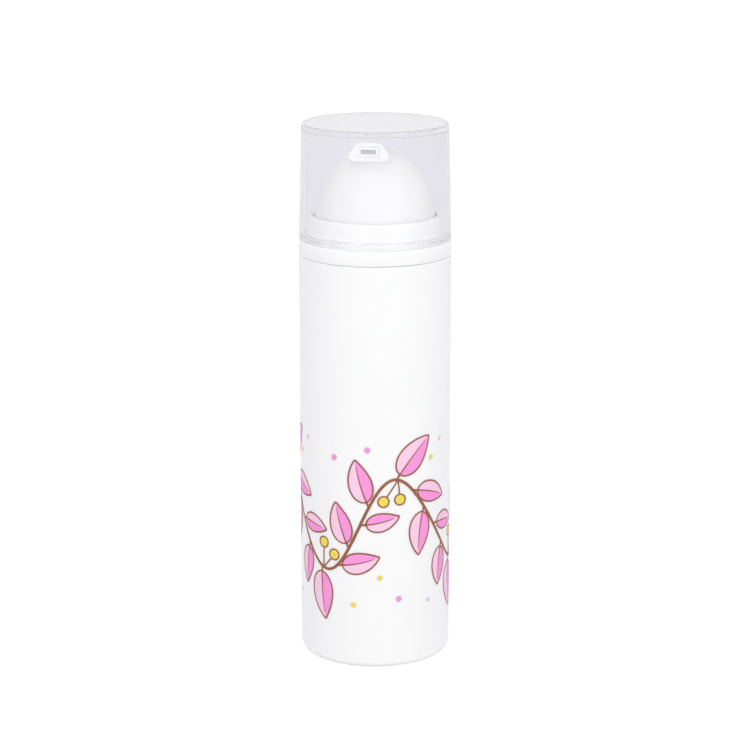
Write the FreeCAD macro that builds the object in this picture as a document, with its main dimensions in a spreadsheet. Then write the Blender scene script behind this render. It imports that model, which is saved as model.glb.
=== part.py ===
import FreeCAD, Part
import math
import os
import re
import Sketcher

# An airless pump bottle: a straight bottle whose floor is a rising piston, a sprung pump in its
# mouth, a domed head with a slot nozzle, and a clear lift-off cap. Millimetres and degrees, +Z up,
# origin at the middle of the foot, nozzle towards -Y.

# Driving sizes
SIZES = {
    # Bottle
    "bottle_diameter": "46",
    "bottle_height": "124.6",
    "bottle_wall": "1.6",
    "base_thickness": "1.8",
    "base_recess": "0.7",
    "base_corner_round": "2.6",
    "foot_width": "3",
    "vent_diameter": "1.8",
    "base_rib_count": "6",
    "base_rib_start": "5",
    "base_rib_length": "12",
    "base_rib_width": "1.2",
    "base_rib_height": "0.7",
    "edge_round": "0.3",
    "snap_reach": "0.3",
    "snap_length": "1.6",
    "snap_clearance": "0.08",
    "bottle_snap_drop": "3.6",
    # Follower piston
    "lip_clearance": "0.05",
    "lip_reach": "0.9",
    "lip_thickness": "0.8",
    "lip_height": "2.6",
    "lip_land": "0.6",
    "follower_wall": "1.3",
    "crown_gap": "0.5",
    "well_clearance": "0.8",
    "well_gap": "0.6",
    "rest_gap": "0.1",
    # Neck gasket and pump carrier
    "neck_gasket_thickness": "0.6",
    "neck_gasket_clearance": "0.1",
    "plug_clearance": "0.05",
    "plug_wall": "1.4",
    "plug_depth": "7",
    "web_thickness": "1.6",
    "carrier_flange_thickness": "1.2",
    "carrier_flange_inset": "0.9",
    "carrier_hole_clearance": "0.1",
    "boss_clearance": "0.1",
    "boss_wall": "1.4",
    "boss_height": "8",
    # Shoulder ring
    "parting_gap": "0.08",
    "band_height": "4.52",
    "band_clearance": "0.1",
    "sleeve_clearance": "0.1",
    "sleeve_wall": "1.3",
    "sleeve_rise": "7.5",
    "sleeve_foot_gap": "0.2",
    "sleeve_swell": "0.7",
    "sleeve_rim_inset": "0.15",
    "sleeve_snap_lift": "2.4",
    "grip_reach": "0.3",
    "grip_length": "1.4",
    "grip_lift": "2.6",
    # Pump
    "stem_bore_diameter": "3.4",
    "stem_neck_wall": "1.4",
    "stem_shoulder": "0.5",
    "stem_flange_reach": "2.6",
    "stem_flange_thickness": "1.4",
    "stem_end_gap": "0.1",
    "port_diameter": "1.4",
    "port_lift": "1.3",
    "relief_gap": "1",
    "relief_height": "2.4",
    "seat_width": "0.7",
    "seat_gap": "0.05",
    "piston_recess": "1.05",
    "piston_recess_floor_share": "0.4",
    "piston_recess_depth": "1.6",
    "piston_lip_thickness": "0.6",
    "piston_lip_land": "0.5",
    "piston_lip_height": "1.9",
    "piston_lip_clearance": "0.05",
    "piston_height": "5",
    "piston_float": "0.8",
    "float_clearance": "0.3",
    "piston_stem_clearance": "0.04",
    "rod_head_thickness": "1.2",
    "rod_blade_width": "0.9",
    "rod_shank_length": "5",
    "rod_clearance": "0.03",
    "head_stroke": "7.5",
    "chamber_margin": "0.4",
    "housing_wall": "1.2",
    "housing_flange_reach": "3",
    "housing_flange_thickness": "1.4",
    "housing_gasket_thickness": "0.8",
    "housing_gasket_clearance": "0.1",
    "barrel_rise": "8.4",
    "ball_diameter": "4",
    "ball_lift": "1.2",
    "ball_play": "0.03",
    "ball_side_gap": "0.6",
    "inlet_diameter": "2.4",
    "inlet_length": "1.5",
    "retainer_thickness": "1",
    "retainer_ledge": "0.9",
    "retainer_clearance": "0.03",
    "retainer_hole_count": "4",
    "retainer_hole_diameter": "1.5",
    "guide_gap": "0.1",
    "guide_plate_thickness": "1.5",
    "guide_dip": "1.2",
    "guide_wall": "1.3",
    "guide_clearance": "0.04",
    "guide_skirt_clearance": "0.05",
    "guide_snap_lift": "4",
    "spring_boss_height": "1.2",
    "spring_boss_wall": "0.8",
    "spring_boss_clearance": "0.25",
    "spring_wire": "0.9",
    "spring_turns": "5.75",
    "spring_end_gap": "0.05",
    # Head and nozzle
    "skirt_clearance": "0.4",
    "skirt_drop": "6",
    "cone_foot_drop": "0.6",
    "dome_inset": "1.75",
    "dome_lift": "3.8",
    "head_wall": "1.3",
    "nose_tilt": "12",
    "nose_root_drop": "2.53",
    "nose_root_depth": "1",
    "nose_setback": "2.5",
    "nose_sill_width": "11.6",
    "nose_crown_width": "9.8",
    "nose_flare": "1",
    "nose_below": "2.8",
    "nose_above": "2.9",
    "nose_root_above": "1.4",
    "nose_sill_round": "1.6",
    "nose_crown_round": "2.8",
    "nose_edge_round": "0.7",
    "nose_blend_round": "0.4",
    "channel_diameter": "2.8",
    "channel_drop": "1.2",
    "socket_wall": "1.6",
    "socket_depth": "4.8",
    "socket_clearance": "0.04",
    "socket_foot_gap": "0.05",
    "slot_width": "4.4",
    "slot_height": "1.25",
    "slot_depth": "0.9",
    "feed_width": "2.4",
    "feed_lip": "0.45",
    "insert_rim": "0.8",
    "insert_depth": "3",
    "insert_clearance": "0.03",
    # Overcap
    "cap_setback": "0.05",
    "cap_draft": "0.85",
    "cap_wall": "1.4",
    "cap_top_thickness": "1.8",
    "cap_edge_round": "0.8",
    "cap_corner_round": "0.6",
    "cap_seat_gap": "0.1",
    "cap_head_gap": "2.3",
    "cap_grip_clearance": "0.12",
    "cap_grip_lift": "1.4",
    # How far a cut starts outside what it cuts, and how near an edge lies to where it is looked for
    "cut_overrun": "1",
    "match_tolerance": "0.001",
}

# Radii and heights that follow from the driving sizes
PLACES = {
    "bottle_radius": "bottle_diameter / 2",
    "bore_radius": "bottle_radius - bottle_wall",
    "foot_radius": "bottle_radius - base_corner_round - foot_width",
    "floor_z": "base_recess + base_thickness",
    "bottle_snap_z": "bottle_height - bottle_snap_drop",
    # From the bottle's bore inwards
    "follower_lip_radius": "bore_radius - lip_clearance",
    "follower_radius": "follower_lip_radius - lip_reach",
    "follower_bore_radius": "follower_radius - follower_wall",
    "plug_radius": "bore_radius - plug_clearance",
    "plug_bore_radius": "plug_radius - plug_wall",
    "sleeve_radius": "plug_bore_radius - sleeve_clearance",
    "sleeve_bore_radius": "sleeve_radius - sleeve_wall",
    "sleeve_root_radius": "sleeve_radius + sleeve_swell",
    "sleeve_rim_radius": "sleeve_radius - sleeve_rim_inset",
    "grip_radius": "sleeve_root_radius + grip_reach",
    "skirt_radius": "sleeve_bore_radius - skirt_clearance",
    "dome_radius": "skirt_radius - dome_inset",
    "carrier_flange_radius": "bottle_radius - carrier_flange_inset",
    # From the stem's bore outwards
    "stem_bore_radius": "stem_bore_diameter / 2",
    "stem_neck_radius": "stem_bore_radius + stem_neck_wall",
    "stem_radius": "stem_neck_radius + stem_shoulder",
    "stem_flange_radius": "stem_radius + stem_flange_reach",
    "relief_radius": "stem_neck_radius + relief_gap",
    "seat_radius": "relief_radius + seat_width",
    "piston_recess_radius": "seat_radius + piston_recess * piston_recess_floor_share",
    "piston_radius": "piston_recess_radius + piston_lip_thickness",
    "piston_lip_inner_radius": "seat_radius + piston_recess",
    "piston_lip_radius": "piston_lip_inner_radius + piston_lip_thickness",
    "pump_bore_radius": "piston_lip_radius + piston_lip_clearance",
    "housing_radius": "pump_bore_radius + housing_wall",
    "well_radius": "housing_radius + well_clearance",
    "housing_flange_radius": "housing_radius + housing_flange_reach",
    "boss_bore_radius": "housing_flange_radius + boss_clearance",
    "boss_radius": "boss_bore_radius + boss_wall",
    "carrier_hole_radius": "housing_radius + carrier_hole_clearance",
    "guide_bore_radius": "stem_radius + guide_clearance",
    "guide_skirt_radius": "boss_bore_radius - guide_skirt_clearance",
    "spring_boss_radius": "guide_bore_radius + spring_boss_wall",
    "spring_radius": "spring_boss_radius + spring_boss_clearance + spring_wire / 2",
    "socket_radius": "stem_radius + socket_clearance",
    "socket_outer_radius": "socket_radius + socket_wall",
    "ball_radius": "ball_diameter / 2",
    "inlet_radius": "inlet_diameter / 2",
    "ball_pocket_radius": "ball_radius + ball_side_gap",
    "retainer_seat_radius": "ball_pocket_radius + retainer_ledge",
    "retainer_radius": "retainer_seat_radius - retainer_clearance",
    "spigot_radius": "retainer_seat_radius + housing_wall",
    # Heights of the carrier and the shoulder ring
    "web_z": "bottle_height - plug_depth",
    "web_top_z": "web_z + web_thickness",
    "boss_top_z": "web_top_z + boss_height",
    "carrier_flange_z": "bottle_height + neck_gasket_thickness",
    "carrier_top_z": "carrier_flange_z + carrier_flange_thickness",
    "band_z": "bottle_height + parting_gap",
    "ledge_z": "band_z + band_height",
    "grip_z": "ledge_z + grip_lift",
    "sleeve_z": "web_top_z + sleeve_foot_gap",
    "sleeve_snap_z": "web_top_z + sleeve_snap_lift",
    "sleeve_top_z": "ledge_z + sleeve_rise",
    # Heights of the pump, from the carrier's web
    "housing_flange_z": "web_top_z + housing_gasket_thickness",
    "housing_flange_top_z": "housing_flange_z + housing_flange_thickness",
    "barrel_top_z": "housing_flange_top_z + barrel_rise",
    "guide_foot_z": "barrel_top_z - guide_dip",
    "guide_plate_z": "barrel_top_z + guide_gap",
    "guide_top_z": "guide_plate_z + guide_plate_thickness",
    "guide_snap_z": "housing_flange_top_z + guide_snap_lift",
    "piston_top_z": "guide_foot_z - piston_float - float_clearance",
    "piston_z": "piston_top_z - piston_height",
    "rod_top_z": "piston_z - seat_gap",
    "rod_z": "rod_top_z - rod_head_thickness",
    "chamber_floor_z": "rod_z - head_stroke - chamber_margin",
    "retainer_z": "chamber_floor_z - retainer_thickness",
    "ball_z": "retainer_z - ball_lift - ball_play - ball_radius",
    "ball_cone_z": "ball_z - (ball_radius + ball_play) * sqrt(2)",
    "inlet_edge_z": "ball_cone_z + inlet_radius",
    "housing_foot_z": "inlet_edge_z - inlet_length",
    # Heights of the follower, whose well takes the foot of the pump at the end of its rise
    "follower_z": "floor_z + base_rib_height + rest_gap",
    "well_floor_z": "follower_z + follower_wall",
    "follower_top_z": "well_floor_z + well_gap + web_z - housing_foot_z",
    "crown_z": "follower_top_z - lip_height - crown_gap",
    # Heights of the head, the stem and the cap
    "skirt_z": "sleeve_top_z - skirt_drop",
    "cone_foot_z": "sleeve_top_z - cone_foot_drop",
    "dome_z": "sleeve_top_z + dome_lift",
    "nose_root_z": "dome_z + dome_radius - nose_root_drop",
    "nose_reach": "dome_radius - nose_setback",
    "nose_face_z": "nose_root_z + nose_reach * sin(nose_tilt)",
    "nose_top_z": "nose_face_z + nose_above * cos(nose_tilt)",
    "socket_roof_z": "nose_root_z - channel_drop",
    "stem_top_z": "socket_roof_z - stem_end_gap",
    "stem_flange_top_z": "stem_top_z - socket_depth",
    "stem_flange_z": "stem_flange_top_z - stem_flange_thickness",
    "stem_shoulder_z": "piston_top_z + piston_float + seat_gap",
    "socket_foot_z": "stem_flange_top_z + socket_foot_gap",
    "spring_z": "guide_top_z + spring_end_gap + spring_wire / 2",
    "spring_rise": "stem_flange_z - spring_end_gap - spring_wire / 2 - spring_z",
    "cap_z": "ledge_z + cap_seat_gap",
    "cap_radius": "bottle_radius - cap_setback",
    "cap_top_radius": "cap_radius - cap_draft",
    "cap_ceiling_z": "nose_top_z + cap_head_gap",
    "cap_top_z": "cap_ceiling_z + cap_top_thickness",
    "cap_slope": "cap_draft / (cap_top_z - cap_z)",
    "cap_grip_radius": "grip_radius + cap_grip_clearance",
    "cap_grip_z": "cap_z + cap_grip_lift",
}

doc = FreeCAD.newDocument("airless_pump_bottle")
sheet = doc.addObject("Spreadsheet::Sheet", "sizes")
for row, (alias, number) in enumerate(SIZES.items(), 1):
    sheet.set(f"A{row}", alias)
    sheet.set(f"B{row}", number)
    sheet.setAlias(f"B{row}", alias)
doc.recompute()


def bound(formula):
    """Return a formula with each name led by the object that holds it, as an expression needs."""

    def lead(match):
        name = match.group(0)
        if name in SIZES:
            return f"sizes.{name}"
        if name in PLACES:
            return f"places.{name}"
        return name

    return re.sub(r"[a-z_]+", lead, formula)


places = doc.addObject("App::VarSet", "places")
for name, formula in PLACES.items():
    places.addProperty("App::PropertyFloat", name)
    places.setExpression(name, bound(formula))
doc.recompute()


def value(formula):
    """Work a formula out from the document's sizes."""
    return float(places.evalExpression(bound(formula)))


# Ways of making that several pieces share
def new_body(label):
    body = doc.addObject("PartDesign::Body", label)
    body.Label = label
    return body


def new_sketch(body, name, role):
    """Start a sketch on one of the body's own origin planes."""
    sketch = body.newObject("Sketcher::SketchObject", name)
    plane = next(part for part in body.Origin.OriginFeatures if part.Role == role)
    sketch.AttachmentSupport = [(plane, "")]
    sketch.MapMode = "FlatFace"
    return sketch


def fix(sketch, kind, points, formula):
    """Add a measured constraint and bind it to the sizes."""
    number = sketch.addConstraint(Sketcher.Constraint(kind, *points, value(formula)))
    if formula != "0":
        sketch.setExpression(f"Constraints[{number}]", bound(formula))


def draw_outline(sketch, corners):
    """Draw a closed outline with straight sides through corners given as pairs of formulas."""
    points = [FreeCAD.Vector(value(across), value(up), 0) for across, up in corners]
    first = sketch.GeometryCount
    for here, point in enumerate(points):
        sketch.addGeometry(Part.LineSegment(point, points[(here + 1) % len(points)]), False)
    for here in range(len(points)):
        there = (here + 1) % len(points)
        sketch.addConstraint(Sketcher.Constraint("Coincident", first + here, 2, first + there, 1))
    for here, (across, up) in enumerate(corners):
        fix(sketch, "DistanceX", (-1, 1, first + here, 1), across)
        fix(sketch, "DistanceY", (-1, 1, first + here, 1), up)


def draw_circle(sketch, across, up, radius):
    centre = FreeCAD.Vector(value(across), value(up), 0)
    circle = sketch.addGeometry(Part.Circle(centre, FreeCAD.Vector(0, 0, 1), value(radius)), False)
    fix(sketch, "Radius", (circle,), radius)
    fix(sketch, "DistanceX", (-1, 1, circle, 3), across)
    fix(sketch, "DistanceY", (-1, 1, circle, 3), up)


def draw_arc(sketch, centre_up, radius, start, end):
    """Draw an arc about a point of the sketch's upright axis."""
    centre = FreeCAD.Vector(0, value(centre_up), 0)
    circle = Part.Circle(centre, FreeCAD.Vector(0, 0, 1), value(radius))
    arc = sketch.addGeometry(Part.ArcOfCircle(circle, start, end), False)
    fix(sketch, "Radius", (arc,), radius)
    sketch.addConstraint(Sketcher.Constraint("PointOnObject", arc, 3, -2))
    fix(sketch, "DistanceY", (-1, 1, arc, 3), centre_up)
    return arc


def tangent_angle(corner, centre, radius):
    """Angle on a circle at which a line from an outside corner touches it on the corner's side."""
    away = corner - centre
    return math.atan2(away.y, away.x) + math.acos(radius / away.Length)


def turn(body, sketch, kind, name):
    """Turn a sketch about Z, as a Revolution or a Groove."""
    feature = body.newObject(f"PartDesign::{kind}", name)
    feature.Profile = sketch
    feature.ReferenceAxis = (sketch, ["V_Axis"])
    feature.Angle = 360
    doc.recompute()


def turned(label, corners):
    """Make a body turned about Z from corners given as (radius, height)."""
    body = new_body(label)
    sketch = new_sketch(body, f"{label}_profile", "XZ_Plane")
    draw_outline(sketch, corners)
    turn(body, sketch, "Revolution", f"{label}_turned")
    return body


def pad(body, sketch, name, length, backwards=False):
    feature = body.newObject("PartDesign::Pad", name)
    feature.Profile = sketch
    feature.setExpression("Length", bound(length))
    feature.Reversed = backwards
    doc.recompute()
    return feature


def cut(body, sketch, kind, name, depth=None, both_ways=False):
    """Cut a sketch out of the body, turned as a Groove or straight as a Pocket."""
    before = body.Shape.Volume
    if kind == "Groove":
        turn(body, sketch, kind, name)
    else:
        pocket = body.newObject("PartDesign::Pocket", name)
        pocket.Profile = sketch
        pocket.Midplane = both_ways
        if depth:
            pocket.setExpression("Length", bound(depth))
        else:
            pocket.Type = "ThroughAll"
        doc.recompute()
    if body.Tip.Shape.Volume >= before:
        raise RuntimeError(f"{name} cuts nothing")
    return body.Tip


def repeat(body, feature, name, count):
    """Repeat a feature evenly about Z."""
    pattern = body.newObject("PartDesign::PolarPattern", name)
    pattern.Originals = [feature]
    axis = next(part for part in body.Origin.OriginFeatures if part.Role == "Z_Axis")
    pattern.Axis = (axis, [""])
    pattern.Angle = 360
    pattern.setExpression("Occurrences", bound(count))
    body.Tip = pattern
    doc.recompute()


def round_edges(body, name, radius, wanted):
    """Round the edges of the body's last feature that a test picks."""
    base = body.Tip
    edges = [f"Edge{number}" for number, edge in enumerate(base.Shape.Edges, 1) if wanted(edge)]
    fillet = body.newObject("PartDesign::Fillet", name)
    fillet.Base = (base, edges)
    fillet.setExpression("Radius", bound(radius))
    doc.recompute()


def round_rings(body, name, radius, rings):
    """Round the ring edges that lie at the given (radius, height) pairs."""
    places_of_rings = [(value(across), value(up)) for across, up in rings]

    def wanted(edge):
        if edge.Degenerated or edge.Curve.TypeId != "Part::GeomCircle":
            return False
        found = (edge.Curve.Radius, edge.Curve.Center.z)
        return any(math.dist(found, ring) < value("match_tolerance") for ring in places_of_rings)

    round_edges(body, name, radius, wanted)


def snap_bead(wall, height):
    """Corners of a snap ring that stands out of a wall, from its lower end to its upper end."""
    return [
        (wall, f"{height} - snap_length / 2"),
        (f"{wall} + snap_reach", height),
        (wall, f"{height} + snap_length / 2"),
    ]


def snap_groove(wall, height):
    """Corners of the groove that takes a snap ring, from its upper end to its lower end."""
    return [
        (wall, f"{height} + snap_length / 2 + snap_clearance"),
        (f"{wall} + snap_reach", f"{height} + snap_clearance"),
        (f"{wall} + snap_reach", f"{height} - snap_clearance"),
        (wall, f"{height} - snap_length / 2 - snap_clearance"),
    ]


# Bottle: one white moulding with its base, open at the top, with a foot ring, a vent for the air
# that follows the piston, and ribs that keep the piston off the floor
bottle = turned("bottle_body", [
    ("foot_radius", "0"),
    ("bottle_radius", "0"),
    ("bottle_radius", "bottle_height"),
    ("bore_radius", "bottle_height"),
    *snap_groove("bore_radius", "bottle_snap_z"),
    ("bore_radius", "floor_z"),
    ("vent_diameter / 2", "floor_z"),
    ("vent_diameter / 2", "base_recess"),
    ("foot_radius", "base_recess"),
])
round_rings(bottle, "base_corner", "base_corner_round", [("bottle_radius", "0")])
round_rings(bottle, "floor_corner", "base_rib_height", [("bore_radius", "floor_z")])
round_rings(bottle, "bottle_edges", "edge_round", [
    ("bottle_radius", "bottle_height"),
    ("bore_radius", "bottle_height"),
    ("foot_radius", "0"),
])
rib_sketch = new_sketch(bottle, "base_rib_profile", "XY_Plane")
rib_sketch.setExpression("AttachmentOffset.Base.z", bound("floor_z"))
draw_outline(rib_sketch, [
    ("base_rib_start", "-base_rib_width / 2"),
    ("base_rib_start + base_rib_length", "-base_rib_width / 2"),
    ("base_rib_start + base_rib_length", "base_rib_width / 2"),
    ("base_rib_start", "base_rib_width / 2"),
])
rib = pad(bottle, rib_sketch, "base_rib", "base_rib_height")
repeat(bottle, rib, "base_ribs", "base_rib_count")

# Follower piston: the bottle's moving floor, with a wiping lip at each end and a well in the middle
# that takes the foot of the pump when the bottle is empty
turned("follower_piston", [
    ("0", "follower_z"),
    ("well_radius + follower_wall", "follower_z"),
    ("well_radius + follower_wall", "crown_z - follower_wall"),
    ("follower_bore_radius", "crown_z - follower_wall"),
    ("follower_bore_radius", "follower_z + lip_height"),
    ("follower_lip_radius - lip_thickness", "follower_z"),
    ("follower_lip_radius", "follower_z"),
    ("follower_lip_radius", "follower_z + lip_land"),
    ("follower_radius", "follower_z + lip_height"),
    ("follower_radius", "follower_top_z - lip_height"),
    ("follower_lip_radius", "follower_top_z - lip_land"),
    ("follower_lip_radius", "follower_top_z"),
    ("follower_lip_radius - lip_thickness", "follower_top_z"),
    ("follower_bore_radius", "follower_top_z - lip_height"),
    ("follower_bore_radius", "crown_z"),
    ("well_radius", "crown_z"),
    ("well_radius", "well_floor_z"),
    ("0", "well_floor_z"),
])

# Neck gasket: the flat seal on the bottle's rim
turned("neck_gasket", [
    ("bore_radius + neck_gasket_clearance", "bottle_height"),
    ("carrier_flange_radius", "bottle_height"),
    ("carrier_flange_radius", "carrier_flange_z"),
    ("bore_radius + neck_gasket_clearance", "carrier_flange_z"),
])

# Pump carrier: a cup that plugs the bottle's mouth and snaps into it, with the boss for the pump
turned("pump_carrier", [
    ("carrier_hole_radius", "web_z"),
    ("plug_radius", "web_z"),
    *snap_bead("plug_radius", "bottle_snap_z"),
    ("plug_radius", "carrier_flange_z"),
    ("carrier_flange_radius", "carrier_flange_z"),
    ("carrier_flange_radius", "carrier_top_z"),
    ("plug_bore_radius", "carrier_top_z"),
    *snap_groove("plug_bore_radius", "sleeve_snap_z"),
    ("plug_bore_radius", "web_top_z"),
    ("boss_radius", "web_top_z"),
    ("boss_radius", "boss_top_z"),
    ("boss_bore_radius", "boss_top_z"),
    *snap_groove("boss_bore_radius", "guide_snap_z"),
    ("boss_bore_radius", "web_top_z"),
    ("carrier_hole_radius", "web_top_z"),
])

# Shoulder ring: the band that shows above the bottle, with the sleeve that guides the head and the
# bead that grips the cap
shoulder = turned("shoulder_ring", [
    ("sleeve_bore_radius", "sleeve_z"),
    ("sleeve_radius", "sleeve_z"),
    *snap_bead("sleeve_radius", "sleeve_snap_z"),
    ("sleeve_radius", "carrier_top_z"),
    ("carrier_flange_radius + band_clearance", "carrier_top_z"),
    ("carrier_flange_radius + band_clearance", "band_z"),
    ("bottle_radius", "band_z"),
    ("bottle_radius", "ledge_z"),
    ("sleeve_root_radius", "ledge_z"),
    ("sleeve_root_radius", "grip_z - grip_length / 2"),
    ("grip_radius", "grip_z"),
    ("sleeve_root_radius", "grip_z + grip_length / 2"),
    ("sleeve_rim_radius", "sleeve_top_z"),
    ("sleeve_bore_radius", "sleeve_top_z"),
])
round_rings(shoulder, "shoulder_edges", "edge_round", [
    ("bottle_radius", "band_z"),
    ("bottle_radius", "ledge_z"),
    ("sleeve_rim_radius", "sleeve_top_z"),
    ("sleeve_bore_radius", "sleeve_top_z"),
])

# Housing gasket: the flat seal between the pump and the carrier
turned("housing_gasket", [
    ("housing_radius + housing_gasket_clearance", "web_top_z"),
    ("boss_bore_radius - housing_gasket_clearance", "web_top_z"),
    ("boss_bore_radius - housing_gasket_clearance", "housing_flange_z"),
    ("housing_radius + housing_gasket_clearance", "housing_flange_z"),
])

# Pump housing: the cylinder of the pump, with its flange, its floor and the seat of the inlet ball
turned("pump_housing", [
    ("inlet_radius", "housing_foot_z"),
    ("spigot_radius", "housing_foot_z"),
    ("spigot_radius", "chamber_floor_z - housing_wall"),
    ("housing_radius", "chamber_floor_z - housing_wall"),
    ("housing_radius", "housing_flange_z"),
    ("housing_flange_radius", "housing_flange_z"),
    ("housing_flange_radius", "housing_flange_top_z"),
    ("housing_radius", "housing_flange_top_z"),
    ("housing_radius", "barrel_top_z"),
    ("pump_bore_radius", "barrel_top_z"),
    ("pump_bore_radius", "chamber_floor_z"),
    ("retainer_seat_radius", "chamber_floor_z"),
    ("retainer_seat_radius", "retainer_z"),
    ("ball_pocket_radius", "retainer_z"),
    ("ball_pocket_radius", "ball_cone_z + ball_pocket_radius"),
    ("inlet_radius", "inlet_edge_z"),
])

# Inlet ball: lifts off its seat as the pump draws cream in
ball = doc.addObject("Part::Sphere", "inlet_ball")
ball.setExpression("Radius", bound("ball_radius"))
ball.setExpression("Placement.Base.z", bound("ball_z"))
doc.recompute()

# Ball retainer: a holed disc pressed into the floor of the pump
retainer = turned("ball_retainer", [
    ("0", "retainer_z"),
    ("retainer_radius", "retainer_z"),
    ("retainer_radius", "chamber_floor_z"),
    ("0", "chamber_floor_z"),
])
hole_sketch = new_sketch(retainer, "retainer_hole_profile", "XY_Plane")
hole_sketch.setExpression("AttachmentOffset.Base.z", bound("chamber_floor_z"))
hole_radius = "retainer_hole_diameter / 2"
draw_circle(hole_sketch, f"ball_pocket_radius - {hole_radius}", "0", hole_radius)
hole = cut(retainer, hole_sketch, "Pocket", "retainer_hole")
repeat(retainer, hole, "retainer_holes", "retainer_hole_count")

# Stem guide: snaps into the carrier over the pump, holds it down, guides the stem and seats the
# spring
turned("stem_guide", [
    ("guide_bore_radius", "guide_foot_z"),
    ("guide_bore_radius + guide_wall", "guide_foot_z"),
    ("guide_bore_radius + guide_wall", "guide_plate_z"),
    ("guide_skirt_radius - guide_wall", "guide_plate_z"),
    ("guide_skirt_radius - guide_wall", "housing_flange_top_z"),
    ("guide_skirt_radius", "housing_flange_top_z"),
    *snap_bead("guide_skirt_radius", "guide_snap_z"),
    ("guide_skirt_radius", "guide_top_z"),
    ("spring_boss_radius", "guide_top_z"),
    ("spring_boss_radius", "guide_top_z + spring_boss_height"),
    ("guide_bore_radius", "guide_top_z + spring_boss_height"),
])

# Pump piston: two lips on the pump's bore, a sleeve that slides on the stem's neck, and a seat that
# the rod's head closes when the stem is up
turned("pump_piston", [
    ("relief_radius", "piston_z"),
    ("seat_radius", "piston_z"),
    ("seat_radius", "piston_z + piston_recess_depth"),
    ("piston_recess_radius", "piston_z + piston_recess_depth"),
    ("piston_lip_inner_radius", "piston_z"),
    ("piston_lip_radius", "piston_z"),
    ("piston_lip_radius", "piston_z + piston_lip_land"),
    ("piston_radius", "piston_z + piston_lip_height"),
    ("piston_radius", "piston_top_z - piston_lip_height"),
    ("piston_lip_radius", "piston_top_z - piston_lip_land"),
    ("piston_lip_radius", "piston_top_z"),
    ("piston_lip_inner_radius", "piston_top_z"),
    ("piston_recess_radius", "piston_top_z - piston_recess_depth"),
    ("relief_radius", "piston_top_z - piston_recess_depth"),
    ("relief_radius", "piston_top_z"),
    ("stem_neck_radius + piston_stem_clearance", "piston_top_z"),
    ("stem_neck_radius + piston_stem_clearance", "piston_z + relief_height"),
    ("relief_radius", "piston_z + relief_height"),
])

# Piston rod: a head that closes the pump piston and a cross-bladed shank pressed into the stem
rod = turned("piston_rod", [
    ("0", "rod_z"),
    ("seat_radius", "rod_z"),
    ("seat_radius", "rod_top_z"),
    ("0", "rod_top_z"),
])
blade_sketch = new_sketch(rod, "rod_blade_profile", "XY_Plane")
blade_turn = FreeCAD.Rotation(FreeCAD.Vector(0, 0, 1), 45)
blade_sketch.AttachmentOffset = FreeCAD.Placement(FreeCAD.Vector(), blade_turn)
blade_sketch.setExpression("AttachmentOffset.Base.z", bound("rod_top_z"))
side = "(rod_blade_width / 2)"
end = f"(sqrt((stem_bore_radius - rod_clearance) ^ 2 - {side} ^ 2))"
draw_outline(blade_sketch, [
    (end, f"-{side}"), (end, side), (side, side),
    (side, end), (f"-{side}", end), (f"-{side}", side),
    (f"-{end}", side), (f"-{end}", f"-{side}"), (f"-{side}", f"-{side}"),
    (f"-{side}", f"-{end}"), (side, f"-{end}"), (side, f"-{side}"),
])
pad(rod, blade_sketch, "rod_blades", "rod_shank_length")

# Pump stem: a hollow stem with a neck for the pump piston, a flange for the spring and cross ports
stem = turned("pump_stem", [
    ("stem_bore_radius", "rod_top_z"),
    ("stem_neck_radius", "rod_top_z"),
    ("stem_neck_radius", "stem_shoulder_z"),
    ("stem_radius", "stem_shoulder_z"),
    ("stem_radius", "stem_flange_z"),
    ("stem_flange_radius", "stem_flange_z"),
    ("stem_flange_radius", "stem_flange_top_z"),
    ("stem_radius", "stem_flange_top_z"),
    ("stem_radius", "stem_top_z"),
    ("stem_bore_radius", "stem_top_z"),
])
port_sketch = new_sketch(stem, "stem_port_profile", "XZ_Plane")
draw_circle(port_sketch, "0", "rod_top_z + port_lift", "port_diameter / 2")
cut(stem, port_sketch, "Pocket", "stem_port", both_ways=True)

# Return spring: a steel coil round the stem, between the guide and the stem's flange
spring = new_body("return_spring")
wire_sketch = new_sketch(spring, "spring_wire_profile", "XZ_Plane")
draw_circle(wire_sketch, "spring_radius", "spring_z", "spring_wire / 2")
coil = spring.newObject("PartDesign::AdditiveHelix", "spring_coil")
coil.Profile = wire_sketch
coil.ReferenceAxis = (wire_sketch, ["V_Axis"])
coil.Mode = "height-turns-angle"
coil.setExpression("Height", bound("spring_rise"))
coil.setExpression("Turns", bound("spring_turns"))
doc.recompute()
print(f"least gap between the spring's turns: {value('spring_rise / spring_turns - spring_wire'):.2f} mm")


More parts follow.
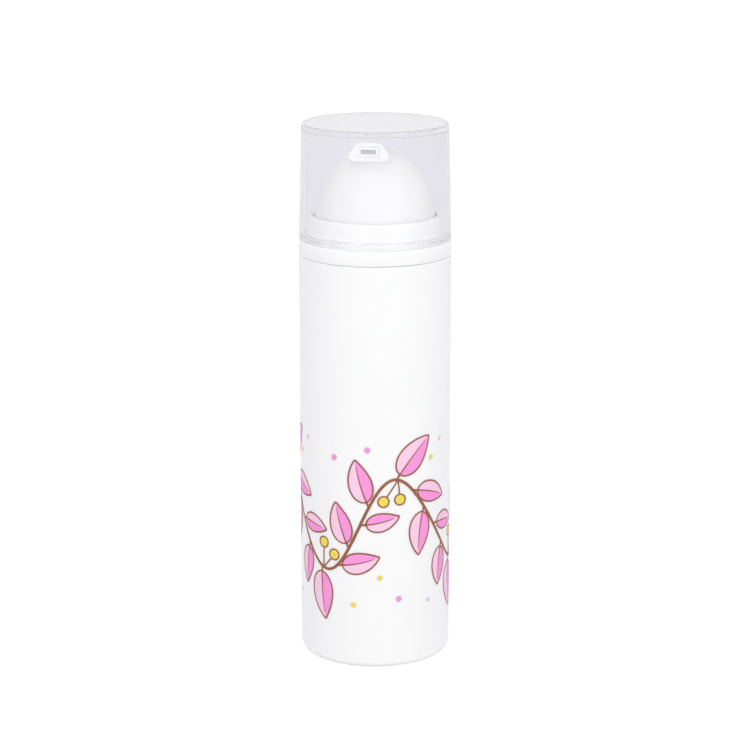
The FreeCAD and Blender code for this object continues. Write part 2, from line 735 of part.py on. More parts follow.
# Head: a domed shell on a skirt that slides in the shoulder's sleeve, with a socket for the stem
# and a nose that carries the outlet channel
def draw_dome(sketch, inner, bottom, foot_radius, radius):
    """Draw half of a dome on a cone and a straight skirt, from an inner radius outwards."""
    foot = FreeCAD.Vector(value(foot_radius), value("cone_foot_z"), 0)
    centre = FreeCAD.Vector(0, value("dome_z"), 0)
    start = tangent_angle(foot, centre, value(radius))
    arc = draw_arc(sketch, "dome_z", radius, start, math.acos(value(inner) / value(radius)))
    touch = sketch.Geometry[arc].StartPoint
    crown = sketch.Geometry[arc].EndPoint
    inner_foot = FreeCAD.Vector(value(inner), value(bottom), 0)
    outer_foot = FreeCAD.Vector(value(foot_radius), value(bottom), 0)
    floor = sketch.addGeometry(Part.LineSegment(inner_foot, outer_foot), False)
    skirt = sketch.addGeometry(Part.LineSegment(outer_foot, foot), False)
    cone = sketch.addGeometry(Part.LineSegment(foot, touch), False)
    column = sketch.addGeometry(Part.LineSegment(crown, inner_foot), False)
    sketch.addConstraint(Sketcher.Constraint("Coincident", floor, 2, skirt, 1))
    sketch.addConstraint(Sketcher.Constraint("Coincident", skirt, 2, cone, 1))
    sketch.addConstraint(Sketcher.Constraint("Tangent", cone, 2, arc, 1))
    sketch.addConstraint(Sketcher.Constraint("Coincident", arc, 2, column, 1))
    sketch.addConstraint(Sketcher.Constraint("Coincident", column, 2, floor, 1))
    sketch.addConstraint(Sketcher.Constraint("Vertical", column))
    for line, point, across, up in (
        (floor, 1, inner, bottom),
        (floor, 2, foot_radius, bottom),
        (cone, 1, foot_radius, "cone_foot_z"),
    ):
        fix(sketch, "DistanceX", (-1, 1, line, point), across)
        fix(sketch, "DistanceY", (-1, 1, line, point), up)


def tilt_to_nose(sketch, distance):
    """Set a sketch square to the nose's line, at a distance from the stem's axis."""
    tilt = FreeCAD.Rotation(FreeCAD.Vector(1, 0, 0), -value("nose_tilt"))
    sketch.AttachmentOffset = FreeCAD.Placement(FreeCAD.Vector(), tilt)
    sketch.setExpression("AttachmentOffset.Rotation.Angle", bound("-nose_tilt"))
    sketch.setExpression("AttachmentOffset.Base.y", bound(f"nose_root_z + {distance} * sin(nose_tilt)"))
    sketch.setExpression("AttachmentOffset.Base.z", bound(f"{distance} * cos(nose_tilt)"))


def draw_nose(sketch, flare, above):
    """Draw the nose's section: arcs at its four corners, each joined to the next by a tangent line."""
    sill_across = f"(nose_sill_width / 2 + {flare} - nose_sill_round)"
    crown_across = f"(nose_crown_width / 2 + {flare} - nose_crown_round)"
    corners = [
        (f"-{sill_across}", "nose_sill_round - nose_below", "nose_sill_round"),
        (sill_across, "nose_sill_round - nose_below", "nose_sill_round"),
        (crown_across, f"{above} - nose_crown_round", "nose_crown_round"),
        (f"-{crown_across}", f"{above} - nose_crown_round", "nose_crown_round"),
    ]
    centres = [FreeCAD.Vector(value(across), value(up), 0) for across, up, radius in corners]
    normals = []
    for here, (across, up, radius) in enumerate(corners):
        there = (here + 1) % len(corners)
        away = centres[there] - centres[here]
        lean = math.acos((value(radius) - value(corners[there][2])) / away.Length)
        normals.append(math.atan2(away.y, away.x) - lean)
    arcs = []
    for here, (across, up, radius) in enumerate(corners):
        circle = Part.Circle(centres[here], FreeCAD.Vector(0, 0, 1), value(radius))
        arcs.append(sketch.addGeometry(Part.ArcOfCircle(circle, normals[here - 1], normals[here]), False))
        fix(sketch, "Radius", (arcs[here],), radius)
        fix(sketch, "DistanceX", (-1, 1, arcs[here], 3), across)
        fix(sketch, "DistanceY", (-1, 1, arcs[here], 3), up)
    for here, arc in enumerate(arcs):
        next_arc = arcs[(here + 1) % len(arcs)]
        ends = (sketch.Geometry[arc].EndPoint, sketch.Geometry[next_arc].StartPoint)
        line = sketch.addGeometry(Part.LineSegment(*ends), False)
        sketch.addConstraint(Sketcher.Constraint("Tangent", arc, 2, line, 1))
        sketch.addConstraint(Sketcher.Constraint("Tangent", line, 2, next_arc, 1))


def draw_plug(sketch, clearance):
    """Draw the rectangle of the nozzle insert, or of its pocket, round the slot."""
    half_width = f"(slot_width / 2 + insert_rim + {clearance})"
    half_height = f"(slot_height / 2 + insert_rim + {clearance})"
    draw_outline(sketch, [
        (f"-{half_width}", f"-{half_height}"),
        (half_width, f"-{half_height}"),
        (half_width, half_height),
        (f"-{half_width}", half_height),
    ])


def on_nose_face(edge):
    """Tell whether an edge lies in the plane of the nose's front face."""
    tilt = math.radians(value("nose_tilt"))
    forward = FreeCAD.Vector(0, -math.cos(tilt), math.sin(tilt))
    root = FreeCAD.Vector(0, 0, value("nose_root_z"))
    ends = [(vertex.Point - root).dot(forward) for vertex in edge.Vertexes]
    return all(abs(end - value("nose_reach")) < value("match_tolerance") for end in ends)


head = new_body("actuator_head")
dome_sketch = new_sketch(head, "dome_profile", "XZ_Plane")
draw_dome(dome_sketch, "0", "skirt_z", "skirt_radius", "dome_radius")
turn(head, dome_sketch, "Revolution", "dome")
hollow_sketch = new_sketch(head, "hollow_profile", "XZ_Plane")
draw_dome(hollow_sketch, "socket_outer_radius", "skirt_z - cut_overrun", "skirt_radius - head_wall",
          "dome_radius - head_wall")
cut(head, hollow_sketch, "Groove", "hollow")
nose_face = new_sketch(head, "nose_face", "XZ_Plane")
tilt_to_nose(nose_face, "nose_reach")
draw_nose(nose_face, "0", "nose_above")
nose_root = new_sketch(head, "nose_root", "XZ_Plane")
tilt_to_nose(nose_root, "nose_root_depth")
draw_nose(nose_root, "nose_flare", "nose_root_above")
nose = head.newObject("PartDesign::AdditiveLoft", "nose")
nose.Profile = nose_face
nose.Sections = [nose_root]
nose.Ruled = True
doc.recompute()
round_edges(head, "nose_edges", "nose_edge_round", on_nose_face)


def on_dome(edge):
    """Tell whether an edge is where the nose meets the outside of the dome."""
    surfaces = [face.Surface for face in head.Tip.Shape.ancestorsOfType(edge, Part.Face)]
    kinds = [surface.TypeId for surface in surfaces]
    if len(kinds) != 2 or kinds.count("Part::GeomSphere") != 1 or "Part::GeomCone" in kinds:
        return False
    radius = surfaces[kinds.index("Part::GeomSphere")].Radius
    return abs(radius - value("dome_radius")) < value("match_tolerance")


round_edges(head, "nose_blend", "nose_blend_round", on_dome)
socket_sketch = new_sketch(head, "socket_profile", "XZ_Plane")
draw_outline(socket_sketch, [
    ("0", "skirt_z - cut_overrun"),
    ("socket_outer_radius + cut_overrun", "skirt_z - cut_overrun"),
    ("socket_outer_radius + cut_overrun", "socket_foot_z"),
    ("socket_radius", "socket_foot_z"),
    ("socket_radius", "socket_roof_z"),
    ("stem_bore_radius", "socket_roof_z"),
    ("stem_bore_radius", "nose_root_z"),
    ("0", "nose_root_z"),
])
cut(head, socket_sketch, "Groove", "socket")
pocket_sketch = new_sketch(head, "insert_pocket_profile", "XZ_Plane")
tilt_to_nose(pocket_sketch, "nose_reach")
draw_plug(pocket_sketch, "insert_clearance")
cut(head, pocket_sketch, "Pocket", "insert_pocket", "insert_depth + insert_clearance")
channel_sketch = new_sketch(head, "channel_profile", "XZ_Plane")
tilt_to_nose(channel_sketch, "nose_reach")
draw_circle(channel_sketch, "0", "0", "channel_diameter / 2")
cut(head, channel_sketch, "Pocket", "channel", "nose_reach")
round_rings(head, "skirt_edges", "edge_round", [
    ("skirt_radius", "skirt_z"),
    ("skirt_radius - head_wall", "skirt_z"),
])

# Nozzle insert: a plug pressed into the nose, with the outlet slot sunk in its face. A groove along its
# top feeds the slot through the slot's roof
insert = new_body("nozzle_insert")
plug_sketch = new_sketch(insert, "insert_profile", "XZ_Plane")
tilt_to_nose(plug_sketch, "nose_reach")
draw_plug(plug_sketch, "0")
pad(insert, plug_sketch, "insert_plug", "insert_depth", backwards=True)
slot_sketch = new_sketch(insert, "slot_profile", "XZ_Plane")
tilt_to_nose(slot_sketch, "nose_reach")
draw_outline(slot_sketch, [
    ("-slot_width / 2", "-slot_height / 2"),
    ("slot_width / 2", "-slot_height / 2"),
    ("slot_width / 2", "slot_height / 2"),
    ("-slot_width / 2", "slot_height / 2"),
])
cut(insert, slot_sketch, "Pocket", "slot", "slot_depth")
feed_sketch = new_sketch(insert, "feed_profile", "XZ_Plane")
tilt_to_nose(feed_sketch, "(nose_reach - feed_lip)")
draw_outline(feed_sketch, [
    ("-feed_width / 2", "slot_height / 2"),
    ("feed_width / 2", "slot_height / 2"),
    ("feed_width / 2", "slot_height / 2 + insert_rim + cut_overrun"),
    ("-feed_width / 2", "slot_height / 2 + insert_rim + cut_overrun"),
])
cut(insert, feed_sketch, "Pocket", "feed")

# Overcap: a clear tapered shell that stands on the shoulder's ledge, with a bead inside its mouth
inner_wall = "cap_radius - cap_wall - cap_slope * (cap_grip_lift {} grip_length / 2)"
cap = turned("overcap", [
    ("cap_radius - cap_wall", "cap_z"),
    ("cap_radius", "cap_z"),
    ("cap_top_radius", "cap_top_z"),
    ("0", "cap_top_z"),
    ("0", "cap_ceiling_z"),
    ("cap_top_radius - cap_wall", "cap_ceiling_z"),
    (inner_wall.format("+"), "cap_grip_z + grip_length / 2"),
    ("cap_grip_radius", "cap_grip_z"),
    (inner_wall.format("-"), "cap_grip_z - grip_length / 2"),
])
round_rings(cap, "cap_top_edge", "cap_edge_round", [("cap_top_radius", "cap_top_z")])
round_rings(cap, "cap_inner_corner", "cap_corner_round", [("cap_top_radius - cap_wall", "cap_ceiling_z")])
round_rings(cap, "cap_mouth_edges", "edge_round", [
    ("cap_radius - cap_wall", "cap_z"),
    ("cap_radius", "cap_z"),
])

# Each piece is checked and written under its own name
NODES = (
    "bottle_body", "follower_piston", "neck_gasket", "pump_carrier", "shoulder_ring", "housing_gasket",
    "pump_housing", "inlet_ball", "ball_retainer", "stem_guide", "pump_piston", "piston_rod", "pump_stem",
    "return_spring", "actuator_head", "nozzle_insert", "overcap",
)
doc.recompute()
for item in doc.Objects:
    if "Invalid" in item.State or "Error" in item.State:
        raise RuntimeError(f"{item.Label} failed: {item.State}")
os.makedirs("parts", exist_ok=True)
for node in NODES:
    shape = doc.getObject(node).Shape
    if shape.isNull() or not shape.isValid():
        raise RuntimeError(f"{node} has no valid shape")
    shape.exportStep(f"parts/{node}.step")
    print(f"{node}: {len(shape.Solids)} solid, {shape.Volume:.1f} mm3, top {shape.BoundBox.ZMax:.2f} mm")
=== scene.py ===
import cmath
import math

import bmesh
import bpy
from mathutils import Matrix, Vector


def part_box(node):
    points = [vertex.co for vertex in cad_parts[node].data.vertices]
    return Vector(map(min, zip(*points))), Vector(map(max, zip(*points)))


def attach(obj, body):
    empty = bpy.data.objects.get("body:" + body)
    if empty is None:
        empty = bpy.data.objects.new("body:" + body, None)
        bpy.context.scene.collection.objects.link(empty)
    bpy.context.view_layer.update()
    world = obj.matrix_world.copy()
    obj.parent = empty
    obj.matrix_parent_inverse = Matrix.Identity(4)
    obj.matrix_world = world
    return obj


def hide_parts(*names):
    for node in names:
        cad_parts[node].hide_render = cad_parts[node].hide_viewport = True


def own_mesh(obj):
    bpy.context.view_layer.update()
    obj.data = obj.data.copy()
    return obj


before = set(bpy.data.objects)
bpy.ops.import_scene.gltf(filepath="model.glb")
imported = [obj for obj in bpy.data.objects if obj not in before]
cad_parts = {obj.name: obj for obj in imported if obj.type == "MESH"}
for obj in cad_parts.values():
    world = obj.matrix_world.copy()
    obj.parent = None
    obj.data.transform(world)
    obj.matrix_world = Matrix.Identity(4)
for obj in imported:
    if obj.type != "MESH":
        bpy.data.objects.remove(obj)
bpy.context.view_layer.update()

# Bottle body: the straight white bottle with a rounded base corner, open at the top. It is
# injection moulded in white polypropylene with its base in one piece, and the polished steel of
# the mould gives it its shine.


def add_node(tree, kind, inputs=None, **settings):
    """Add a shader node, set its options, and set or wire its inputs by name or number."""
    made = tree.nodes.new(kind)
    for option, value in settings.items():
        setattr(made, option, value)
    for socket, value in (inputs or {}).items():
        if isinstance(value, bpy.types.NodeSocket):
            tree.links.new(value, made.inputs[socket])
        else:
            made.inputs[socket].default_value = value
    return made


def add_sum(tree, operation, *terms):
    """Add a math node on up to three values and give back its result."""
    return add_node(tree, "ShaderNodeMath", dict(enumerate(terms)), operation=operation).outputs[0]


def add_noise(tree, place, scale, detail, roughness=0.5):
    """Add a cloudy noise and give back its strength."""
    settings = {"Vector": place, "Scale": scale, "Detail": detail, "Roughness": roughness}
    return add_node(tree, "ShaderNodeTexNoise", settings).outputs[0]


def add_bump(tree, height, depth, normal=None):
    """Raise a surface by a noise, up to a depth in metres, and give back its normal."""
    inputs = {"Height": height, "Distance": depth}
    if normal is not None:
        inputs["Normal"] = normal
    return add_node(tree, "ShaderNodeBump", inputs).outputs[0]


def vary_tone(tree, colour, noise, spread):
    """Lighten and darken a colour by a noise, over a share of its brightness."""
    tone = add_sum(tree, "MULTIPLY_ADD", add_sum(tree, "SUBTRACT", noise, 0.5), spread, 1.0)
    return add_node(tree, "ShaderNodeHueSaturation", {"Color": colour, "Value": tone}).outputs[0]


def place_on_piece(tree):
    """Give the place of each point of the piece, in metres."""
    return add_node(tree, "ShaderNodeTexCoord").outputs["Object"]


def start_effect(name, inputs):
    """Start a node group with named inputs, and give back its tree, its inputs and the place."""
    tree = bpy.data.node_groups.new(name, "ShaderNodeTree")
    for socket, value in inputs.items():
        kind = "NodeSocketColor" if isinstance(value, tuple) else "NodeSocketFloat"
        tree.interface.new_socket(socket, in_out="INPUT", socket_type=kind).default_value = value
    return tree, tree.nodes.new("NodeGroupInput").outputs, place_on_piece(tree)


def end_effect(tree, colour, roughness, normal):
    """End a node group with the colour, roughness and normal that it puts out."""
    results = {"Color": colour, "Roughness": roughness, "Normal": normal}
    for socket, kind in zip(results, ("Color", "Float", "Vector")):
        tree.interface.new_socket(socket, in_out="OUTPUT", socket_type=f"NodeSocket{kind}")
    add_node(tree, "NodeGroupOutput", results)


# The skin of a moulding: pigment that is not quite even, a polish that wanders from gloss to satin,
# and the slow ripple and fine grain that the cooling plastic takes from the steel
moulded_skin, given, place = start_effect("moulded skin", {
    "Color": (0.9, 0.9, 0.9, 1.0), "Tone spread": 0.02, "Polish": 0.35, "Polish spread": 0.08,
    "Ripple depth": 2e-6, "Grain depth": 4e-7})
cloud = add_noise(moulded_skin, place, scale=70.0, detail=3.0)
smear = add_noise(moulded_skin, place, scale=320.0, detail=4.0)
ripple = add_noise(moulded_skin, place, scale=420.0, detail=1.0)
grain = add_noise(moulded_skin, place, scale=5200.0, detail=2.0)
wander = add_sum(moulded_skin, "SUBTRACT", smear, 0.5)
rippled = add_bump(moulded_skin, ripple, given["Ripple depth"])
end_effect(
    moulded_skin,
    colour=vary_tone(moulded_skin, given["Color"], cloud, given["Tone spread"]),
    roughness=add_sum(
        moulded_skin, "MULTIPLY_ADD", wander, given["Polish spread"], given["Polish"]),
    normal=add_bump(moulded_skin, grain, given["Grain depth"], rippled),
)


def new_material(name):
    """Start an empty material and give back the material, its tree and its surface socket."""
    material = bpy.data.materials.new(name)
    material.use_nodes = True
    tree = material.node_tree
    tree.nodes.clear()
    return material, tree, add_node(tree, "ShaderNodeOutputMaterial").inputs["Surface"]


def finished(name, effect, look, constants):
    """Make a material from an effect in its own values and a shader with its own constants."""
    material, tree, surface = new_material(name)
    skin = add_node(tree, "ShaderNodeGroup", look, node_tree=effect).outputs
    wired = {"Base Color": skin["Color"], "Roughness": skin["Roughness"], "Normal": skin["Normal"]}
    shader = add_node(tree, "ShaderNodeBsdfPrincipled", {**wired, **constants})
    tree.links.new(shader.outputs[0], surface)
    return material


def moulded_plastic(name, colour, polish, tone_spread=0.02, ripple_depth=2e-6, grain_depth=4e-7,
                    glow=0.0):
    """Make a plastic with the moulded skin; glow is how deep light reaches in it, in metres."""
    look = {"Color": (*colour, 1.0), "Tone spread": tone_spread, "Polish": polish,
            "Ripple depth": ripple_depth, "Grain depth": grain_depth}
    return finished(name, moulded_skin, look, {
        "Specular IOR Level": 0.3, "IOR": 1.49, "Subsurface Weight": 1.0 if glow else 0.0,
        "Subsurface Radius": (1.0, 0.96, 0.98), "Subsurface Scale": glow})


def dress(material, *nodes):
    """Give CAD pieces a material in every slot."""
    for node in nodes:
        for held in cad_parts[node].material_slots:
            held.material = material


dress(moulded_plastic("bottle white", (0.90, 0.90, 0.905), 0.36, glow=0.0008), "bottle_body")

# Print on the bottle: a garland of two-tone leaves and berries round the lower half. It is screen
# printed in four inks, one after the other, and each film stands one to two hundredths of a
# millimetre proud. It is drawn on the unrolled wall, where a place is across + up * 1j.
bottle_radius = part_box("bottle_body")[1].x
girth = 2 * math.pi * bottle_radius
REPEATS = 3
repeat = girth / REPEATS
FINE_STEP = 0.0006
STEM_HEIGHT, STEM_WAVE, STEM_KINK, STEM_SHIFT = 0.045, 0.0145, 0.0012, 0.03


def stem_point(along):
    """Give a place on the garland's waving stem."""
    turn = 2 * math.pi * (along / repeat + STEM_SHIFT)
    height = STEM_HEIGHT + STEM_WAVE * math.sin(turn) + STEM_KINK * math.sin(2 * turn)
    return along + 1j * height


def stem_heading(along):
    """Give the direction of the garland's stem, in radians."""
    return cmath.phase(stem_point(along + FINE_STEP) - stem_point(along - FINE_STEP))


def straight(start, finish):
    """Give points along a straight line."""
    steps = max(3, int(abs(finish - start) / FINE_STEP))
    return [start + (finish - start) * i / steps for i in range(steps + 1)]


def stroke(line, width, taper=0.0):
    """Give the rows of points of a drawn line, which narrows to its end by a share of its width."""
    last = len(line) - 1
    rows = []
    for i, here in enumerate(line):
        along = line[min(i + 1, last)] - line[max(i - 1, 0)]
        side = 1j * along / abs(along) * width / 2 * (1 - taper * i / last)
        rows.append([here + side, here - side])
    return rows


DOT_STEPS = 28


def ring(centre, inner, outer):
    """Give the rows of points of a printed dot or ring between two radii."""
    turns = [cmath.rect(1, -2 * math.pi * i / DOT_STEPS) for i in range(DOT_STEPS + 1)]
    middle = (inner + outer) / 2
    return [[centre + outer * out, centre + middle * out, centre + inner * out] for out in turns]


LEAF_WIDTH, LEAF_SHOULDER, LEAF_POINT = 0.74, 0.6, 0.9


def leaf_lines(foot, lean, length, bend):
    """Give a leaf's rib and its two edges, from its foot to its tip."""
    steps = int(length / FINE_STEP)
    rib, left, right = [], [], []
    for i in range(steps + 1):
        t = i / steps
        middle = foot + cmath.rect(length, lean) * (t + 1j * bend * t * t)
        width = length * LEAF_WIDTH * t ** LEAF_SHOULDER * (1 - t) ** LEAF_POINT
        half = cmath.rect(width, lean + math.pi / 2 + 2 * bend * t)
        rib.append(middle)
        left.append(middle + half)
        right.append(middle - half)
    return rib, left, right


STRIP_STEPS = 5


def strip(upper, lower):
    """Give the rows of points that fill the strip between two lines."""
    shares = [k / STRIP_STEPS for k in range(STRIP_STEPS + 1)]
    return [[a + (b - a) * share for share in shares] for a, b in zip(upper, lower)]


# Leaves: share of the repeat, side of the stem, lean off it in degrees, length
LEAVES = (
    (0.03, 1, 50, 0.0135),
    (0.205, 1, 62, 0.0150),
    (0.315, 1, 40, 0.0120),
    (0.40, -1, 48, 0.0135),
    (0.485, 1, 58, 0.0105),
    (0.575, -1, 50, 0.0120),
    (0.70, -1, 64, 0.0150),
    (0.82, -1, 38, 0.0120),
    (0.90, 1, 52, 0.0130),
    (0.975, -1, 60, 0.0105),
)
LEAF_STALK, LEAF_BEND, RIB_TAPER = 0.0017, -0.14, 0.6
# Sprays of berries: share of the repeat, side of the stem, then each berry's lean and stalk
BERRIES = (
    (0.215, -1, ((70, 0.0062), (110, 0.0080))),
    (0.715, 1, ((70, 0.0062), (110, 0.0080))),
)
BERRY_RADIUS, BERRY_LINE = 0.0017, (0.00145, 0.0019)
# Dots: share of the repeat, height, radius, ink
DOTS = (
    (0.02, 0.0690, 0.0009, "pink"),
    (0.46, 0.0650, 0.0008, "yellow"),
    (0.55, 0.0700, 0.0007, "pale_pink"),
    (0.80, 0.0660, 0.0009, "pink"),
    (0.10, 0.0290, 0.0008, "yellow"),
    (0.22, 0.0220, 0.0009, "pink"),
    (0.44, 0.0200, 0.0007, "pale_pink"),
    (0.93, 0.0200, 0.0008, "yellow"),
)
PINHOLE = 0.00002
# Widths of the drawn lines
STEM_LINE, LEAF_STALK_LINE, LEAF_LINE, BERRY_STALK_LINE = 0.0009, 0.0006, 0.0005, 0.00045

films = {"pale_pink": [], "pink": [], "yellow": [], "brown": []}
stem_steps = int(girth / FINE_STEP)
stem_line = [stem_point(girth * i / stem_steps) for i in range(stem_steps + 1)]
films["brown"].append(stroke(stem_line, STEM_LINE))
for number in range(REPEATS):
    for share, side, lean, length in LEAVES:
        along = repeat * (number + share)
        lean = stem_heading(along) + side * math.radians(lean)
        foot = stem_point(along) + cmath.rect(LEAF_STALK, lean)
        rib, left, right = leaf_lines(foot, lean, length, LEAF_BEND * side)
        left_ink, right_ink = ("pale_pink", "pink") if side > 0 else ("pink", "pale_pink")
        films[left_ink].append(strip(left, rib))
        films[right_ink].append(strip(rib, right))
        films["brown"] += [stroke(straight(stem_point(along), foot), LEAF_STALK_LINE),
                           stroke(rib[:-3], LEAF_LINE, RIB_TAPER),
                           stroke(left, LEAF_LINE), stroke(right, LEAF_LINE)]
    for share, side, stalks in BERRIES:
        along = repeat * (number + share)
        for lean, reach in stalks:
            lean = stem_heading(along) + side * math.radians(lean)
            berry = stem_point(along) + cmath.rect(reach, lean)
            stalk = straight(stem_point(along), berry - cmath.rect(BERRY_RADIUS, lean))
            films["yellow"].append(ring(berry, PINHOLE, BERRY_RADIUS))
            films["brown"] += [stroke(stalk, BERRY_STALK_LINE), ring(berry, *BERRY_LINE)]
    for share, height, radius, ink in DOTS:
        films[ink].append(ring(repeat * (number + share) + 1j * height, PINHOLE, radius))

# The inks: a dense opaque film with the slight mottle that the screen's mesh leaves
ink_film, given, place = start_effect(
    "ink film", {"Color": (0.5, 0.5, 0.5, 1.0), "Mottle": 0.12, "Polish": 0.4})
mottle = add_noise(ink_film, place, scale=1500.0, detail=3.0)
end_effect(
    ink_film,
    colour=vary_tone(ink_film, given["Color"], mottle, given["Mottle"]),
    roughness=add_sum(ink_film, "MULTIPLY_ADD", mottle, 0.14, given["Polish"]),
    normal=add_bump(ink_film, mottle, 2e-6),
)


def wrap(spot, lift):
    """Give the point in space, a little off the bottle, of a place on the unrolled wall."""
    angle, reach = spot.real / bottle_radius, bottle_radius + lift
    return reach * math.sin(angle), -reach * math.cos(angle), spot.imag


def bridge(shape, rows, closed=False):
    """Fill the strips between neighbouring rows of points with four-sided faces."""
    for here, there in zip(rows, rows[1:]):
        for k in range(0 if closed else 1, len(here)):
            shape.faces.new((here[k - 1], here[k], there[k], there[k - 1]))


def add_piece(name, shape, material):
    """Turn a drawn mesh into a smooth piece in one material."""
    mesh = bpy.data.meshes.new(name)
    shape.to_mesh(mesh)
    shape.free()
    mesh.shade_smooth()
    mesh.materials.append(material)
    piece = bpy.data.objects.new(name, mesh)
    bpy.context.scene.collection.objects.link(piece)
    return piece


# Each ink's colour, and how far its film stands off the wall
INKS = {
    "pale_pink": ((0.90, 0.58, 0.76), 0.000012),
    "pink": ((0.90, 0.30, 0.68), 0.000012),
    "yellow": ((0.85, 0.68, 0.09), 0.000012),
    "brown": ((0.33, 0.105, 0.048), 0.000022),
}
FILM_ROOT = 0.00001
for ink, (colour, lift) in INKS.items():
    shape = bmesh.new()
    for rows in films[ink]:
        bridge(shape, [[shape.verts.new(wrap(spot, lift)) for spot in row] for row in rows])
    bmesh.ops.remove_doubles(shape, verts=shape.verts, dist=1e-7)
    coat = finished(f"{ink.replace('_', ' ')} ink", ink_film, {"Color": (*colour, 1.0)},
                    {"Specular IOR Level": 0.35})
    film = add_piece(f"print_{ink}", shape, coat)
    body = film.modifiers.new("film thickness", "SOLIDIFY")
    body.thickness = lift + FILM_ROOT
    body.offset = -1.0
    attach(film, "bottle")

# Follower piston: the floor that climbs as the cream is used. It is moulded in natural
# polyethylene, soft enough for its two thin lips to wipe the bottle's wall.
dress(moulded_plastic("follower milky", (0.80, 0.81, 0.80), 0.42, 0.05, 4e-6, 8e-7),
      "follower_piston")

# Gaskets: two flat rings, one on the bottle's rim and one under the pump's flange. They are punched
# from a sheet of pale elastomer, with a matt face and a fine fleck.
gasket_face, given, place = start_effect(
    "gasket face", {"Color": (0.7, 0.7, 0.68, 1.0), "Fleck": 0.14})
cells = add_node(gasket_face, "ShaderNodeTexVoronoi", {"Vector": place, "Scale": 2600.0})
fleck = cells.outputs["Distance"]
end_effect(
    gasket_face,
    colour=vary_tone(gasket_face, given["Color"], fleck, given["Fleck"]),
    roughness=add_sum(gasket_face, "MULTIPLY_ADD", fleck, 0.2, 0.62),
    normal=add_bump(gasket_face, fleck, 8e-6),
)
gasket_rubber = finished("gasket elastomer", gasket_face, {"Color": (0.72, 0.72, 0.69, 1.0)},
                         {"Specular IOR Level": 0.25})
dress(gasket_rubber, "neck_gasket", "housing_gasket")

# Pump body: the cylinder with its inlet seat, and the holed disc that keeps the ball in its pocket.
# Both are moulded in natural polypropylene, and the disc is pressed into the cylinder's foot.
dress(moulded_plastic("pump milky", (0.83, 0.84, 0.84), 0.33, 0.04, 2e-6, 5e-7),
      "pump_housing", "ball_retainer")

# Inlet ball: the loose ball that closes the inlet on the down stroke. It is ground and lapped from
# stainless steel, bright, with only the faintest lapping marks.
drawn_steel, given, place = start_effect("drawn steel", {
    "Color": (0.7, 0.7, 0.72, 1.0), "Streak scale": 900.0, "Polish": 0.2})
streak = add_noise(drawn_steel, place, given["Streak scale"], detail=5.0, roughness=0.7)
end_effect(
    drawn_steel,
    colour=vary_tone(drawn_steel, given["Color"], streak, 0.25),
    roughness=add_sum(drawn_steel, "MULTIPLY_ADD", streak, 0.2, given["Polish"]),
    normal=add_bump(drawn_steel, streak, 1e-6),
)


def steel(name, colour, streak_scale, polish):
    """Make a bare steel with its own colour, size of streak and polish."""
    look = {"Color": (*colour, 1.0), "Streak scale": streak_scale, "Polish": polish}
    return finished(name, drawn_steel, look, {"Metallic": 1.0})


dress(steel("ball steel", (0.76, 0.76, 0.78), 1400.0, 0.08), "inlet_ball")

# Pump piston: the small lipped sleeve that slides on the stem and opens the outlet at each press.
# It is moulded in soft low-density polyethylene, a little cloudier than the pump's body.
dress(moulded_plastic("piston soft", (0.79, 0.81, 0.82), 0.48, 0.05, 3e-6, 9e-7), "pump_piston")

# Stem and rod: the hollow stem that carries the head, and the pin in its foot that closes the
# piston. Both are moulded in acetal, whiter and slicker than the body, and the pin is pressed home.
dress(moulded_plastic("stem acetal", (0.85, 0.86, 0.85), 0.28, 0.03, 1.5e-6, 4e-7),
      "pump_stem", "piston_rod")

# Stem guide: the plate that snaps over the pump's body, guides the stem and carries the spring. It
# is moulded in natural polypropylene.
dress(moulded_plastic("guide milky", (0.82, 0.83, 0.83), 0.35, 0.04), "stem_guide")

# Return spring: the coil round the stem, outside the cream, that lifts the head. It is wound from
# round stainless wire with a dead coil at each end, ground flat where it stands.
spring_low, spring_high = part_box("return_spring")
WIRE = 0.0009
TURNS = 7.5
STEPS_A_TURN = 36
AROUND = 12
DEAD_PITCH = WIRE * 0.92
EASE = 0.05
GROUND_TURNS, GROUND_DEPTH = 0.75, WIRE * 0.12
coil_radius = spring_high.x - WIRE / 2
rise = spring_high.z - spring_low.z - WIRE
coil = bmesh.new()
sections = []
for i in range(int(TURNS * STEPS_A_TURN) + 1):
    turn = i / STEPS_A_TURN
    live = min(max((turn - 1) / (TURNS - 2), 0.0), 1.0)
    eased = live - EASE * math.sin(2 * math.pi * live)
    dead = DEAD_PITCH * (min(turn, 1.0) + max(turn - (TURNS - 1), 0.0))
    height = spring_low.z + WIRE / 2 + dead + (rise - 2 * DEAD_PITCH) * eased
    ground = spring_low.z + (GROUND_DEPTH if turn < GROUND_TURNS else 0.0)
    angle = 2 * math.pi * turn
    out = Vector((math.cos(angle), math.sin(angle), 0.0))
    points = []
    for k in range(AROUND):
        lean = 2 * math.pi * k / AROUND
        spot = out * (coil_radius + WIRE / 2 * math.cos(lean))
        level = height + WIRE / 2 * math.sin(lean)
        spot.z = min(max(level, ground), spring_high.z)
        points.append(coil.verts.new(spot))
    sections.append(points)
bridge(coil, sections, closed=True)
coil.faces.new(sections[0])
coil.faces.new(sections[-1][::-1])
bmesh.ops.recalc_face_normals(coil, faces=coil.faces)
spring = add_piece("spring_coil", coil, steel("spring wire", (0.68, 0.68, 0.70), 600.0, 0.2))
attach(spring, "bottle")
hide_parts("return_spring")
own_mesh(spring)

# Pump carrier: the plug that snaps into the bottle's mouth and holds the pump. It is moulded in
# natural polypropylene and hidden under the shoulder.
dress(moulded_plastic("carrier milky", (0.83, 0.84, 0.83), 0.4, 0.04, 3e-6, 6e-7), "pump_carrier")

